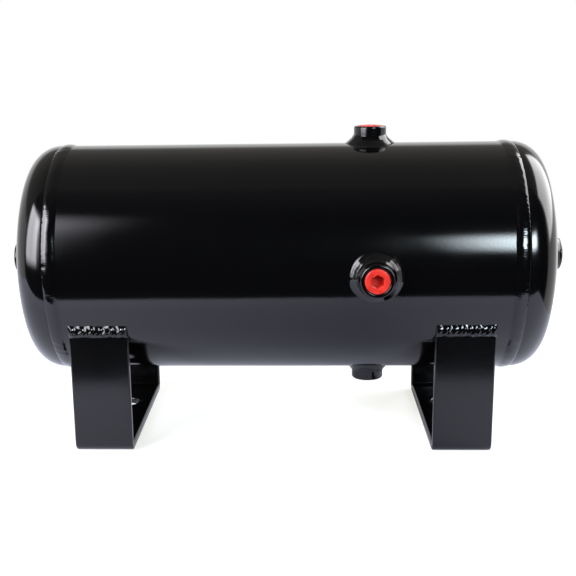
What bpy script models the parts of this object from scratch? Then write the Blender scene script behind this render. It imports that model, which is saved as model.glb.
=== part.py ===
"""Air receiver tank: a rolled steel shell with two dished heads, five threaded weld bosses
closed by plastic plugs, and two feet bent from flat bar.

Metres. +X runs along the tank, +Z is up and -Y is the side with the front port. The origin is on
the floor, under the middle of the tank's box. Welded pieces keep a small gap to each other, so
that each one stays a solid of its own."""

import math

import bmesh
import bpy
from mathutils import Matrix, Vector

# Driving dimensions -----------------------------------------------------------------------------
SHELL_OD = 0.2032  # 8 in
SHELL_WALL = 0.003
SHELL_LENGTH = 0.3854  # over the bevelled edges
SEAM_GAP = 0.003  # opening between the rolled sheet's two edges
SEAM_ANGLE = math.radians(35)  # of the seam, from straight down towards the rear
SEAM_CAP_WIDTH = 0.007
SEAM_CAP_HEIGHT = 0.001

HEAD_WALL = 0.003
HEAD_CROWN_RADIUS = 0.2613
HEAD_KNUCKLE_RADIUS = 0.025
HEAD_FLANGE = 0.0018  # straight stretch between the knuckle and the joggle
HEAD_SKIRT = 0.016  # what slides into the shell
WELD_BEVEL = 0.0035  # run of the shell's edge bevel, and of the head's joggle
WELD_ROOT = 0.004  # from the shell's edge to the foot of the joggle
GIRTH_CAP_LAP = 0.001
GIRTH_CAP_HEIGHT = 0.0016

PORT_X = 0.0762  # of the three side ports, from the middle of the tank
BOSS_OD = 0.0286
BOSS_LENGTH = 0.021
BOSS_CHAMFER = 0.001
SIDE_BOSS_PROUD = 0.015
END_BOSS_PROUD = 0.009
BORE_DIAMETER = 0.0214  # at the mouth of the 1/2 in taper thread
BORE_TAPER = 1 / 32  # radius lost in each metre of depth
BORE_CHAMFER = 0.0006
BOSS_WELD_FOOT = 0.008  # how far the fillet runs out along the wall
BOSS_WELD_RISE = 0.0078  # how far it climbs the boss

PLUG_LENGTH = 0.015
PLUG_PROUD = 0.0004
PLUG_CHAMFER = 0.0006
SOCKET_ACROSS_FLATS = 0.010
SOCKET_DEPTH = 0.009

UNDER_CLEARANCE = 0.0566  # from the floor to the underside of the shell
FOOT_SPACING = 0.312  # between the middles of the feet
FOOT_SHIFT = -0.003  # of both feet along the tank
FOOT_WIDTH = 0.0508
FOOT_THICKNESS = 0.00635
FOOT_BEND_RADIUS = 0.0025  # inside the bend
LEG_ANGLE = math.radians(61)  # round the shell from straight down to a leg's outer face
FOOT_HOLE_DIAMETER = 0.024
FOOT_HOLE_SPACING = 0.059
FOOT_WELD_UP = 0.0075  # how far the bead runs up the shell
FOOT_WELD_DOWN = 0.0044  # how far it runs down the leg
FOOT_WELD_BULGE = 0.0018

GAP = 0.0003  # between welded pieces, and round a plug
EDGE = 0.00025  # thickness left at the toe of a weld
ROUND_STEPS = 48  # sides of the shell and heads
SMALL_STEPS = 24  # sides of a boss, plug or hole

SHELL_RADIUS = SHELL_OD / 2
SKIRT_RADIUS = SHELL_RADIUS - SHELL_WALL - GAP
JOGGLE_FOOT = SHELL_LENGTH / 2 + WELD_ROOT
SHOULDER = JOGGLE_FOOT + WELD_BEVEL
TANGENT = SHOULDER + HEAD_FLANGE
CROWN_ANGLE = math.asin(
    (SHELL_RADIUS - HEAD_KNUCKLE_RADIUS) / (HEAD_CROWN_RADIUS - HEAD_KNUCKLE_RADIUS)
)
CROWN_CENTRE = TANGENT - (HEAD_CROWN_RADIUS - HEAD_KNUCKLE_RADIUS) * math.cos(CROWN_ANGLE)
POLE = CROWN_CENTRE + HEAD_CROWN_RADIUS
BOSS_RADIUS = BOSS_OD / 2
FRONT_REACH = SHELL_RADIUS + SIDE_BOSS_PROUD + PLUG_PROUD
REAR_REACH = SHELL_RADIUS + GAP + GIRTH_CAP_HEIGHT
AXIS = Vector((0, (FRONT_REACH - REAR_REACH) / 2, UNDER_CLEARANCE + SHELL_RADIUS))
LEG_FACE = SHELL_RADIUS * math.sin(LEG_ANGLE)

BLACK = (0.006, 0.006, 0.007)
RED = (0.78, 0.045, 0.02)
X, Y, Z = Vector((1, 0, 0)), Vector((0, 1, 0)), Vector((0, 0, 1))


def clear_scene():
    for obj in list(bpy.data.objects):
        bpy.data.objects.remove(obj, do_unlink=True)


def tank_frame():
    """The empty at the middle of the tank's axis, which every piece is placed from."""
    frame = bpy.data.objects.new("tank_frame", None)
    frame.location = AXIS
    bpy.context.scene.collection.objects.link(frame)
    return frame


def material(name, colour, roughness, metallic):
    made = bpy.data.materials.new(name)
    made.use_nodes = True
    shader = made.node_tree.nodes["Principled BSDF"]
    shader.inputs["Base Color"].default_value = (*colour, 1)
    shader.inputs["Roughness"].default_value = roughness
    shader.inputs["Metallic"].default_value = metallic
    return made


def arc(centre, radius, start, end, steps):
    """Points of an arc in a plane, angles in radians from the first axis."""
    angles = [start + (end - start) * i / steps for i in range(steps + 1)]
    return [(centre[0] + radius * math.cos(a), centre[1] + radius * math.sin(a)) for a in angles]


def add_piece(name, bm, matrix=None, look=None):
    """Make an object from a bmesh, faces outwards, and place it in the tank's frame."""
    bmesh.ops.recalc_face_normals(bm, faces=bm.faces)
    mesh = bpy.data.meshes.new(name)
    bm.to_mesh(mesh)
    bm.free()
    mesh.shade_smooth()
    mesh.set_sharp_from_angle(angle=math.radians(35))
    piece = bpy.data.objects.new(name, mesh)
    bpy.context.scene.collection.objects.link(piece)
    piece.parent = FRAME
    piece.matrix_local = matrix or Matrix()
    if look:
        mesh.materials.append(material(name + "_finish", *look))
    return piece


def turned(name, outline, steps, matrix=None, look=None):
    """Turn a closed outline of (radius, height) points about its own Z axis."""
    bm = bmesh.new()
    points = [bm.verts.new((radius, 0, height)) for radius, height in outline]
    edges = [bm.edges.new((points[i - 1], points[i])) for i in range(len(points))]
    bmesh.ops.spin(
        bm, geom=points + edges, cent=(0, 0, 0), axis=(0, 0, 1), angle=2 * math.pi,
        steps=steps, use_merge=True, use_duplicate=False,
    )
    bmesh.ops.remove_doubles(bm, verts=bm.verts, dist=1e-6)
    return add_piece(name, bm, matrix, look)


def extruded(name, outline, x_from, x_to, look=None):
    """Carry a closed outline of (y, z) points along the tank."""
    bm = bmesh.new()
    face = bm.faces.new([bm.verts.new((x_from, y, z)) for y, z in outline])
    grown = bmesh.ops.extrude_face_region(bm, geom=[face])["geom"]
    moved = [part for part in grown if isinstance(part, bmesh.types.BMVert)]
    bmesh.ops.translate(bm, verts=moved, vec=(x_to - x_from, 0, 0))
    return add_piece(name, bm, None, look)


def cylinder_cutter(name, radius, low, high, steps, matrix):
    cutter = turned(name, [(0, low), (radius, low), (radius, high), (0, high)], steps, matrix)
    cutter.hide_render = True
    cutter.display_type = "WIRE"
    return cutter


def cut(piece, cutter):
    boolean = piece.modifiers.new(cutter.name, "BOOLEAN")
    boolean.operation = "DIFFERENCE"
    boolean.solver = "EXACT"
    boolean.object = cutter


def standing(position, up, across):
    """The matrix that puts a piece at a position, its Z axis along up and its X along across."""
    rows = Matrix((across, up.cross(across), up)).transposed().to_4x4()
    return Matrix.Translation(position) @ rows


ALONG_TANK = standing(Vector(), X, Z)


# Ports ------------------------------------------------------------------------------------------
def shell_drop(along, across):
    """How far the shell falls away below its highest line, at a point beside a side port."""
    return SHELL_RADIUS - math.sqrt(SHELL_RADIUS**2 - across**2)


def crown_drop(along, across):
    """How far a head's crown falls away below its pole, at a point beside an end port."""
    return HEAD_CROWN_RADIUS - math.sqrt(HEAD_CROWN_RADIUS**2 - along**2 - across**2)


class Port:
    """One threaded port: the middle of its boss's outer face, its direction and its wall."""

    def __init__(self, name, foot, direction, across, proud, drop, plug_turn):
        self.name = name
        self.proud = proud
        self.drop = drop
        self.plug_turn = math.radians(plug_turn)
        self.matrix = standing(foot + direction * proud, direction, across)


def side_port(name, direction, plug_turn):
    foot = X * PORT_X + direction * SHELL_RADIUS
    return Port(name, foot, direction, X, SIDE_BOSS_PROUD, shell_drop, plug_turn)


def end_port(name, direction, plug_turn):
    return Port(name, direction * POLE, direction, Z, END_BOSS_PROUD, crown_drop, plug_turn)


SIDE_PORTS = [
    side_port("top", Z, 12),
    side_port("front", -Y, 0),
    side_port("bottom", -Z, 40),
]
END_PORTS = [end_port("left", -X, 22), end_port("right", X, 50)]


# Shell and heads --------------------------------------------------------------------------------
def make_shell():
    """The rolled sheet: both ends bevelled for the girth welds, slotted along its seam."""
    inner = SHELL_RADIUS - SHELL_WALL
    root = SHELL_LENGTH / 2
    edge = root - WELD_BEVEL
    outline = [(inner, -root), (SHELL_RADIUS, -edge), (SHELL_RADIUS, edge), (inner, root)]
    shell = turned("shell", outline, ROUND_STEPS, ALONG_TANK, (BLACK, 0.18, 0))
    for port in SIDE_PORTS:
        cutter = cylinder_cutter(
            "cut_hole_" + port.name, BOSS_RADIUS + GAP, -2 * BOSS_LENGTH, BOSS_LENGTH,
            SMALL_STEPS, port.matrix,
        )
        cut(shell, cutter)
    middle = SHELL_RADIUS - SHELL_WALL / 2
    slot = extruded(
        "cut_seam", seam_outline(SEAM_GAP / 2, middle - SHELL_WALL, middle + SHELL_WALL),
        -SHELL_LENGTH, SHELL_LENGTH,
    )
    slot.hide_render = True
    slot.display_type = "WIRE"
    cut(shell, slot)
    return shell


def seam_point(across, radius):
    """A point of the seam's cross-section, across the seam and out from the tank's axis."""
    out = Vector((math.sin(SEAM_ANGLE), -math.cos(SEAM_ANGLE)))
    side = Vector((math.cos(SEAM_ANGLE), math.sin(SEAM_ANGLE)))
    return tuple(out * radius + side * across)


def seam_outline(half_width, low, high):
    corners = [(-half_width, low), (half_width, low), (half_width, high), (-half_width, high)]
    return [seam_point(*corner) for corner in corners]


def make_seam_weld():
    """A bar of weld through the wall, with a wider rounded cap on the outside."""
    root = SEAM_GAP / 2 - GAP
    half_cap = SEAM_CAP_WIDTH / 2
    seat = SHELL_RADIUS + GAP
    low = SHELL_RADIUS - SHELL_WALL
    cap = [
        (half_cap * math.cos(a), seat + EDGE + (SEAM_CAP_HEIGHT - EDGE) * math.sin(a))
        for a in [math.pi * i / 6 for i in range(7)]
    ]
    section = [(root, low), (root, seat), (half_cap, seat), *cap]
    section += [(-half_cap, seat), (-root, seat), (-root, low)]
    end = SHELL_LENGTH / 2 - WELD_BEVEL - GIRTH_CAP_LAP - GAP
    outline = [seam_point(*point) for point in section]
    return extruded("shell_seam_weld", outline, -end, end, (BLACK, 0.22, 0))


def head_outline():
    """Outline of a head from the rim of its port hole, down its outside and back inside.

    Heights run outwards along the tank from its middle. The crown and the knuckle are two arcs
    that share a tangent, and the skirt is joggled inwards by the shell's wall."""
    hole = BOSS_RADIUS + GAP
    half_joggle = math.atan((SHELL_RADIUS - SKIRT_RADIUS) / WELD_BEVEL) / 2
    shift = HEAD_WALL * math.tan(half_joggle)
    skirt_end = JOGGLE_FOOT - HEAD_SKIRT
    knuckle = (SHELL_RADIUS - HEAD_KNUCKLE_RADIUS, TANGENT)
    crown = (0, CROWN_CENTRE)
    to_crown = math.pi / 2 - CROWN_ANGLE

    def dome(depth):
        crown_radius = HEAD_CROWN_RADIUS - depth
        rim = math.acos(hole / crown_radius)
        outer = arc(crown, crown_radius, rim, to_crown, 4)
        return outer + arc(knuckle, HEAD_KNUCKLE_RADIUS - depth, to_crown, 0, 4)[1:]

    outside = dome(0) + [(SHELL_RADIUS, SHOULDER), (SKIRT_RADIUS, JOGGLE_FOOT)]
    inside = dome(HEAD_WALL) + [
        (SHELL_RADIUS - HEAD_WALL, SHOULDER + shift),
        (SKIRT_RADIUS - HEAD_WALL, JOGGLE_FOOT + shift),
    ]
    ends = [(SKIRT_RADIUS, skirt_end), (SKIRT_RADIUS - HEAD_WALL, skirt_end)]
    return outside + ends + inside[::-1]


def make_head(side, facing):
    name = "head_" + side
    return turned(
        name, head_outline(), ROUND_STEPS, standing(Vector(), facing, Z), (BLACK, 0.18, 0)
    )


def make_girth_weld(side, facing):
    """A ring of weld in the groove between the shell's bevel and the head's joggle."""
    root = SHELL_LENGTH / 2
    base = SKIRT_RADIUS + GAP
    seat = SHELL_RADIUS + GAP
    low_edge = root - WELD_BEVEL
    half_cap = (SHOULDER - low_edge) / 2 + GIRTH_CAP_LAP
    middle = (SHOULDER + low_edge) / 2
    cap = [
        (seat + EDGE + (GIRTH_CAP_HEIGHT - EDGE) * math.sin(a), middle + half_cap * math.cos(a))
        for a in [math.pi * i / 6 for i in range(7)]
    ]
    outline = [
        (seat, low_edge - GIRTH_CAP_LAP),
        (seat, low_edge + 2 * GAP),
        (base, root + 2 * GAP),
        (base, JOGGLE_FOOT - 2 * GAP),
        (seat, SHOULDER - 2 * GAP),
        (seat, SHOULDER + GIRTH_CAP_LAP),
    ]
    return turned(
        "girth_weld_" + side, outline + cap, ROUND_STEPS, standing(Vector(), facing, Z),
        (BLACK, 0.2, 0),
    )


# Bosses, their welds and their plugs ------------------------------------------------------------
def bore_radius(depth):
    return BORE_DIAMETER / 2 - BORE_TAPER * depth


def make_boss(port):
    """A round steel boss with a tapered bore, its outer face at height 0."""
    outline = [
        (BOSS_RADIUS - BOSS_CHAMFER, 0),
        (BOSS_RADIUS, -BOSS_CHAMFER),
        (BOSS_RADIUS, -BOSS_LENGTH),
        (bore_radius(BOSS_LENGTH), -BOSS_LENGTH),
        (bore_radius(BORE_CHAMFER), -BORE_CHAMFER),
        (bore_radius(0) + BORE_CHAMFER, 0),
    ]
    return turned("boss_" + port.name, outline, SMALL_STEPS, port.matrix, (BLACK, 0.2, 0))


def make_boss_weld(port):
    """A fillet between the boss and the wall, which follows the wall's curve round the boss."""
    inner = BOSS_RADIUS + GAP
    toe = inner + BOSS_WELD_FOOT
    belly = (inner + BOSS_WELD_FOOT * 0.42, BOSS_WELD_RISE * 0.46)
    section = [
        (inner, GAP),
        (toe, GAP),
        (toe, GAP + EDGE),
        belly,
        (inner + EDGE, BOSS_WELD_RISE),
        (inner, BOSS_WELD_RISE),
    ]
    bm = bmesh.new()
    rings = []
    for step in range(SMALL_STEPS):
        turn = 2 * math.pi * step / SMALL_STEPS
        ring = []
        for radius, height in section:
            along, across = radius * math.cos(turn), radius * math.sin(turn)
            level = height - port.proud - port.drop(along, across)
            ring.append(bm.verts.new((along, across, level)))
        rings.append(ring)
    count = len(section)
    for step in range(SMALL_STEPS):
        here, there = rings[step - 1], rings[step]
        for i in range(count):
            bm.faces.new((here[i - 1], here[i], there[i], there[i - 1]))
    return add_piece("boss_weld_" + port.name, bm, port.matrix, (BLACK, 0.2, 0))


def make_plug(port):
    """A plastic plug that follows the bore's taper, with a blind hex socket."""
    matrix = port.matrix @ Matrix.Rotation(port.plug_turn, 4, "Z")
    top = bore_radius(0) - GAP
    end = bore_radius(PLUG_LENGTH) - GAP
    outline = [
        (0, PLUG_PROUD),
        (top - PLUG_CHAMFER, PLUG_PROUD),
        (top, PLUG_PROUD - PLUG_CHAMFER),
        (end, -PLUG_LENGTH + PLUG_CHAMFER),
        (end - PLUG_CHAMFER, -PLUG_LENGTH),
        (0, -PLUG_LENGTH),
    ]
    plug = turned("plug_" + port.name, outline, SMALL_STEPS, matrix, (RED, 0.35, 0))
    corner = SOCKET_ACROSS_FLATS / math.sqrt(3)
    socket = cylinder_cutter(
        "cut_socket_" + port.name, corner, -SOCKET_DEPTH, PLUG_LENGTH, 6,
        matrix @ Matrix.Rotation(math.radians(30), 4, "Z"),
    )
    cut(plug, socket)
    return plug


# Feet -------------------------------------------------------------------------------------------
def foot_outline():
    """Outline of the bent bar seen along the tank, each leg reaching up into the shell."""
    floor = -AXIS.z
    top = -SHELL_RADIUS * math.cos(LEG_ANGLE) + FOOT_THICKNESS
    outer = FOOT_BEND_RADIUS + FOOT_THICKNESS
    centre = (LEG_FACE - outer, floor + outer)
    right_out = arc(centre, outer, -math.pi / 2, 0, 4)
    right_in = arc(centre, FOOT_BEND_RADIUS, 0, -math.pi / 2, 4)
    right = right_out + [(LEG_FACE, top), (LEG_FACE - FOOT_THICKNESS, top)] + right_in
    left = [(-y, z) for y, z in right[::-1]]
    return right + left


def make_foot(side, middle, saddle):
    foot = extruded(
        "foot_" + side, foot_outline(), middle - FOOT_WIDTH / 2, middle + FOOT_WIDTH / 2,
        (BLACK, 0.2, 0),
    )
    cut(foot, saddle)
    for place, sign in (("front", -1), ("rear", 1)):
        position = Vector((middle, sign * FOOT_HOLE_SPACING / 2, -AXIS.z))
        cutter = cylinder_cutter(
            f"cut_{side}_{place}", FOOT_HOLE_DIAMETER / 2, -FOOT_THICKNESS, 2 * FOOT_THICKNESS,
            SMALL_STEPS, Matrix.Translation(position),
        )
        cut(foot, cutter)
    return foot


def make_foot_weld(side, place, sign, middle):
    """A bead in the wide angle between a leg's outer face and the shell."""
    seat = SHELL_RADIUS + GAP
    face = LEG_FACE + GAP
    corner_angle = math.asin(face / seat)
    corner = Vector((face, -seat * math.cos(corner_angle)))
    low = corner - Vector((0, FOOT_WELD_DOWN))
    toe_angle = corner_angle + FOOT_WELD_UP / seat
    toe = Vector((math.sin(toe_angle), -math.cos(toe_angle)))
    start, end = low + Vector((EDGE, 0)), toe * (seat + EDGE)
    chord = (end - start).normalized()
    outward = Vector((chord.y, -chord.x))
    crest = [
        start.lerp(end, part) + outward * FOOT_WELD_BULGE * math.sin(math.pi * part)
        for part in [i / 5 for i in range(1, 5)]
    ]
    section = [corner, low, start, *crest, end, toe * seat]
    outline = [(sign * point.x, point.y) for point in section]
    return extruded(
        f"foot_weld_{side}_{place}", outline, middle - FOOT_WIDTH / 2, middle + FOOT_WIDTH / 2,
        (BLACK, 0.2, 0),
    )


clear_scene()
FRAME = tank_frame()
make_shell()
make_seam_weld()
for side, facing in (("left", -X), ("right", X)):
    make_head(side, facing)
    make_girth_weld(side, facing)
for port in SIDE_PORTS + END_PORTS:
    make_boss(port)
    make_boss_weld(port)
    make_plug(port)
saddle_cutter = cylinder_cutter(
    "cut_saddle", SHELL_RADIUS + GAP, -SHELL_LENGTH, SHELL_LENGTH, ROUND_STEPS, ALONG_TANK
)
for side, sign in (("left", -1), ("right", 1)):
    middle = FOOT_SHIFT + sign * FOOT_SPACING / 2
    make_foot(side, middle, saddle_cutter)
    make_foot_weld(side, "front", -1, middle)
    make_foot_weld(side, "rear", 1, middle)
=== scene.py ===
"""An air receiver tank in gloss black: a rolled shell, two dished heads, five threaded bosses
closed by red plastic plugs, and two feet bent from flat bar, standing on a white sweep.

Metres. +X runs along the tank, +Z is up and -Y is the side with the front port."""
import math

import bmesh
import bpy
import numpy as np
from mathutils import Matrix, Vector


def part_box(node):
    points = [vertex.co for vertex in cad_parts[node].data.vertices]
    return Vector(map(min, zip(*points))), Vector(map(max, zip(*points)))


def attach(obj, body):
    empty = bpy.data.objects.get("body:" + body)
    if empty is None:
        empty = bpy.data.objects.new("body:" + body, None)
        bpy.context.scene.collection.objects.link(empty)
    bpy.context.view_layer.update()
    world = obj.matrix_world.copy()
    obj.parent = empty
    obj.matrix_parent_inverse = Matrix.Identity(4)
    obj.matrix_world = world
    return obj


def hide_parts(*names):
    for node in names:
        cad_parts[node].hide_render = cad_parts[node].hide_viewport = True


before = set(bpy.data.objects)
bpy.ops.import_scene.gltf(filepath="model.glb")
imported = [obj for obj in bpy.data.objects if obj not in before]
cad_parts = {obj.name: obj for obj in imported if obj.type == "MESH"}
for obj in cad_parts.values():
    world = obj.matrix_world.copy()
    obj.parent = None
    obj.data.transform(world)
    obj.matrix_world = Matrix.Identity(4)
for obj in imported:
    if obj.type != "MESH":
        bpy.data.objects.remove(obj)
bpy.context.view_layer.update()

# Shell ------------------------------------------------------------------------------------------
# One sheet of 3 mm steel, rolled round and welded along its lower rear, with three holes cut in
# one line for the side bosses. It is sprayed with gloss black powder after everything is welded.
shell_low, shell_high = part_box("shell")
AXIS_Y = (shell_low.y + shell_high.y) / 2
AXIS_Z = (shell_low.z + shell_high.z) / 2
SHELL_RADIUS = (shell_high.z - shell_low.z) / 2
SHELL_WALL = 0.003
WELD_BEVEL = 0.0035
SHELL_EDGE = shell_high.x - WELD_BEVEL
SHELL_COLUMNS = 256
SHELL_GIRTH = 2 * math.pi * SHELL_RADIUS
SHELL_CELL = SHELL_GIRTH / SHELL_COLUMNS
HOLE_CELLS = 3
PATCH_CELLS = 9
ROLL_WAVE = 0.00004
UNDER, OVER, FRONT = 0, math.pi, 1.5 * math.pi
SEAM_ANGLE = math.radians(35)

front_low, front_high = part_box("boss_front")
BOSS_RADIUS = (front_high.x - front_low.x) / 2
PORT_X = (front_low.x + front_high.x) / 2
GAP = 0.0003
MERGE_DISTANCE = 2e-6


def around_tank(along, angle, radius):
    """Points round the tank's axis: the angle starts straight down and turns to the rear, so that
    y goes with its sine and z with minus its cosine."""
    along, angle, radius = np.broadcast_arrays(along, angle, radius)
    y = AXIS_Y + radius * np.sin(angle)
    z = AXIS_Z - radius * np.cos(angle)
    return np.stack([along, y, z], axis=-1)


def open_hole(across, along, radius, inner, outer):
    """Spread a flat grid so that a square hole in it turns round.

    The two arguments are distances from the hole's middle. Each point keeps its direction. Its
    distance goes from the circle's at the inner square to its own at the outer square."""
    square = np.maximum(np.maximum(abs(across), abs(along)), 1e-9)
    share = np.clip((square - inner) / (outer - inner), 0, 1)
    circle = radius / np.maximum(np.hypot(across, along), 1e-9)
    scale = np.where(square < outer, (1 - share) * circle + share, 1)
    return across * scale, along * scale


def grid_faces(rows, columns, rows_close, columns_close):
    """Corner numbers of the quads between neighbouring rows and columns of a grid."""
    row = np.arange(rows if rows_close else rows - 1)[:, None]
    column = np.arange(columns if columns_close else columns - 1)[None, :]
    next_row, next_column = (row + 1) % rows, (column + 1) % columns
    corners = [(row, column), (row, next_column), (next_row, next_column), (next_row, column)]
    numbers = [np.broadcast_to(r * columns + c, (row.size, column.size)) for r, c in corners]
    return np.stack(numbers, axis=-1)


def lay_surface(name, points, rows_close=False, columns_close=False, keep=None, fill=False,
                sharp=50):
    """Make a smooth object from a grid of points, with doubles merged and faces outwards. Edges
    sharper than an angle stay sharp, and so do those at an open end, for a wall to start from."""
    faces = grid_faces(*points.shape[:2], rows_close, columns_close)
    faces = faces[keep] if keep is not None else faces.reshape(-1, 4)
    mesh = bpy.data.meshes.new(name)
    mesh.from_pydata(points.reshape(-1, 3), [], faces)
    bm = bmesh.new()
    bm.from_mesh(mesh)
    bmesh.ops.delete(bm, geom=[v for v in bm.verts if not v.link_faces], context="VERTS")
    bmesh.ops.remove_doubles(bm, verts=bm.verts, dist=MERGE_DISTANCE)
    if fill:
        bmesh.ops.holes_fill(bm, edges=[e for e in bm.edges if e.is_boundary], sides=0)
    bmesh.ops.recalc_face_normals(bm, faces=bm.faces)
    bm.to_mesh(mesh)
    bm.free()
    mesh.shade_smooth()
    mesh.set_sharp_from_angle(angle=math.radians(sharp))
    side_edges = np.empty(len(mesh.loops), int)
    mesh.loops.foreach_get("edge_index", side_edges)
    creased = np.empty(len(mesh.edges), bool)
    mesh.edges.foreach_get("use_edge_sharp", creased)
    creased |= np.bincount(side_edges, minlength=len(creased)) == 1
    mesh.edges.foreach_set("use_edge_sharp", creased)
    piece = bpy.data.objects.new(name, mesh)
    bpy.context.scene.collection.objects.link(piece)
    return piece


def noise_field(seed, *axes, scale=1.0):
    """A smooth uneven field between about -1 and 1: five waves of seeded direction and phase."""
    draw = np.random.default_rng(seed)
    total = 0
    for octave in range(5):
        turn = draw.uniform(0.6, 1.7, len(axes)) * draw.choice([-1, 1], len(axes))
        phase = draw.uniform(0, 2 * math.pi)
        reach = sum(axis * step for axis, step in zip(axes, turn))
        total = total + np.sin(reach / scale * (1 + 0.45 * octave) + phase)
    return total / 3


def new_group(name, inputs, outputs):
    """An empty shader node group with its sockets: name to (type, default)."""
    group = bpy.data.node_groups.new(name, "ShaderNodeTree")
    for label, (kind, value) in inputs.items():
        socket = group.interface.new_socket(label, in_out="INPUT", socket_type=kind)
        socket.default_value = value
    for label, kind in outputs.items():
        group.interface.new_socket(label, in_out="OUTPUT", socket_type=kind)
    return group, group.nodes.new("NodeGroupInput"), group.nodes.new("NodeGroupOutput")


def add_node(tree, kind, links=(), **settings):
    """Add a node, give its properties and sockets their values, and link what feeds it."""
    node = tree.nodes.new(kind)
    for label, value in settings.items():
        if hasattr(node, label):
            setattr(node, label, value)
        else:
            node.inputs[label.replace("_", " ")].default_value = value
    for socket, source in dict(links).items():
        tree.links.new(source, node.inputs[socket])
    return node


FLOAT, COLOUR = "NodeSocketFloat", "NodeSocketColor"

# Powder coat levels out with a fine orange peel on top of a longer swell.
powder_skin, skin_in, skin_out = new_group(
    "powder_skin",
    {
        "Peel Size": (FLOAT, 0.0014),
        "Peel Height": (FLOAT, 0.000015),
        "Swell Size": (FLOAT, 0.02),
        "Swell Height": (FLOAT, 0.00002),
    },
    {"Normal": "NodeSocketVector"},
)
place = add_node(powder_skin, "ShaderNodeTexCoord").outputs["Object"]
heights = []
for size, height in (("Peel Size", "Peel Height"), ("Swell Size", "Swell Height")):
    rate = add_node(
        powder_skin, "ShaderNodeMath", {1: skin_in.outputs[size]}, operation="DIVIDE"
    )
    rate.inputs[0].default_value = 1
    cloud = add_node(
        powder_skin, "ShaderNodeTexNoise", {"Vector": place, "Scale": rate.outputs[0]},
        Detail=1.5, Roughness=0.45,
    )
    heights.append(add_node(
        powder_skin, "ShaderNodeMath",
        {0: cloud.outputs["Fac"], 1: skin_in.outputs[height]}, operation="MULTIPLY",
    ).outputs[0])
relief = add_node(
    powder_skin, "ShaderNodeMath", {0: heights[0], 1: heights[1]}, operation="ADD"
)
lift = add_node(
    powder_skin, "ShaderNodeBump", {"Height": relief.outputs[0]}, Strength=1, Distance=1
)
powder_skin.links.new(lift.outputs["Normal"], skin_out.inputs["Normal"])

# Its black is never quite even: thin clouds of gloss, and a few specks of settled dust.
powder_tone, tone_in, tone_out = new_group(
    "powder_tone",
    {
        "Black": (COLOUR, (0.0012, 0.0012, 0.0014, 1)),
        "Dust": (COLOUR, (0.02, 0.02, 0.022, 1)),
        "Dust Share": (FLOAT, 0.1),
        "Gloss Low": (FLOAT, 0.15),
        "Gloss High": (FLOAT, 0.2),
    },
    {"Colour": COLOUR, "Roughness": FLOAT},
)
place = add_node(powder_tone, "ShaderNodeTexCoord").outputs["Object"]
cloud = add_node(
    powder_tone, "ShaderNodeTexNoise", {"Vector": place}, Scale=24, Detail=3, Roughness=0.55
)
gloss = add_node(
    powder_tone, "ShaderNodeMapRange",
    {
        "Value": cloud.outputs["Fac"],
        "To Min": tone_in.outputs["Gloss Low"],
        "To Max": tone_in.outputs["Gloss High"],
    },
    From_Min=0.3, From_Max=0.7,
)
specks = add_node(powder_tone, "ShaderNodeTexVoronoi", {"Vector": place}, Scale=420)
speck = add_node(
    powder_tone, "ShaderNodeMapRange", {"Value": specks.outputs["Distance"]},
    From_Min=0.05, From_Max=0.16, To_Min=1, To_Max=0,
)
patchy = add_node(
    powder_tone, "ShaderNodeMapRange", {"Value": cloud.outputs["Fac"]},
    From_Min=0.45, From_Max=0.7,
)
dusty = add_node(
    powder_tone, "ShaderNodeMath", {0: speck.outputs["Result"], 1: patchy.outputs["Result"]},
    operation="MULTIPLY",
)
amount = add_node(
    powder_tone, "ShaderNodeMath", {0: dusty.outputs[0], 1: tone_in.outputs["Dust Share"]},
    operation="MULTIPLY",
)
blend = add_node(powder_tone, "ShaderNodeMix", data_type="RGBA")
powder_tone.links.new(amount.outputs[0], blend.inputs[0])
powder_tone.links.new(tone_in.outputs["Black"], blend.inputs[6])
powder_tone.links.new(tone_in.outputs["Dust"], blend.inputs[7])
powder_tone.links.new(blend.outputs[2], tone_out.inputs["Colour"])
powder_tone.links.new(gloss.outputs["Result"], tone_out.inputs["Roughness"])


def powder_coat(name, gloss_low, gloss_high, peel_height, swell_height, swell_size=0.02,
                dust_share=0.1):
    """Gloss black powder coat, levelled more or less well over what is under it."""
    coat = bpy.data.materials.new(name)
    coat.use_nodes = True
    tree = coat.node_tree
    shader = tree.nodes["Principled BSDF"]
    skin = add_node(
        tree, "ShaderNodeGroup", node_tree=powder_skin, Peel_Height=peel_height,
        Swell_Height=swell_height, Swell_Size=swell_size,
    )
    tone = add_node(
        tree, "ShaderNodeGroup", node_tree=powder_tone, Gloss_Low=gloss_low,
        Gloss_High=gloss_high, Dust_Share=dust_share,
    )
    tree.links.new(tone.outputs["Colour"], shader.inputs["Base Color"])
    tree.links.new(tone.outputs["Roughness"], shader.inputs["Roughness"])
    tree.links.new(skin.outputs["Normal"], shader.inputs["Normal"])
    shader.inputs["IOR"].default_value = 1.5
    return coat


def wrapped(distance):
    """A distance round the shell, taken the short way."""
    return (distance + SHELL_GIRTH / 2) % SHELL_GIRTH - SHELL_GIRTH / 2


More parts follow.
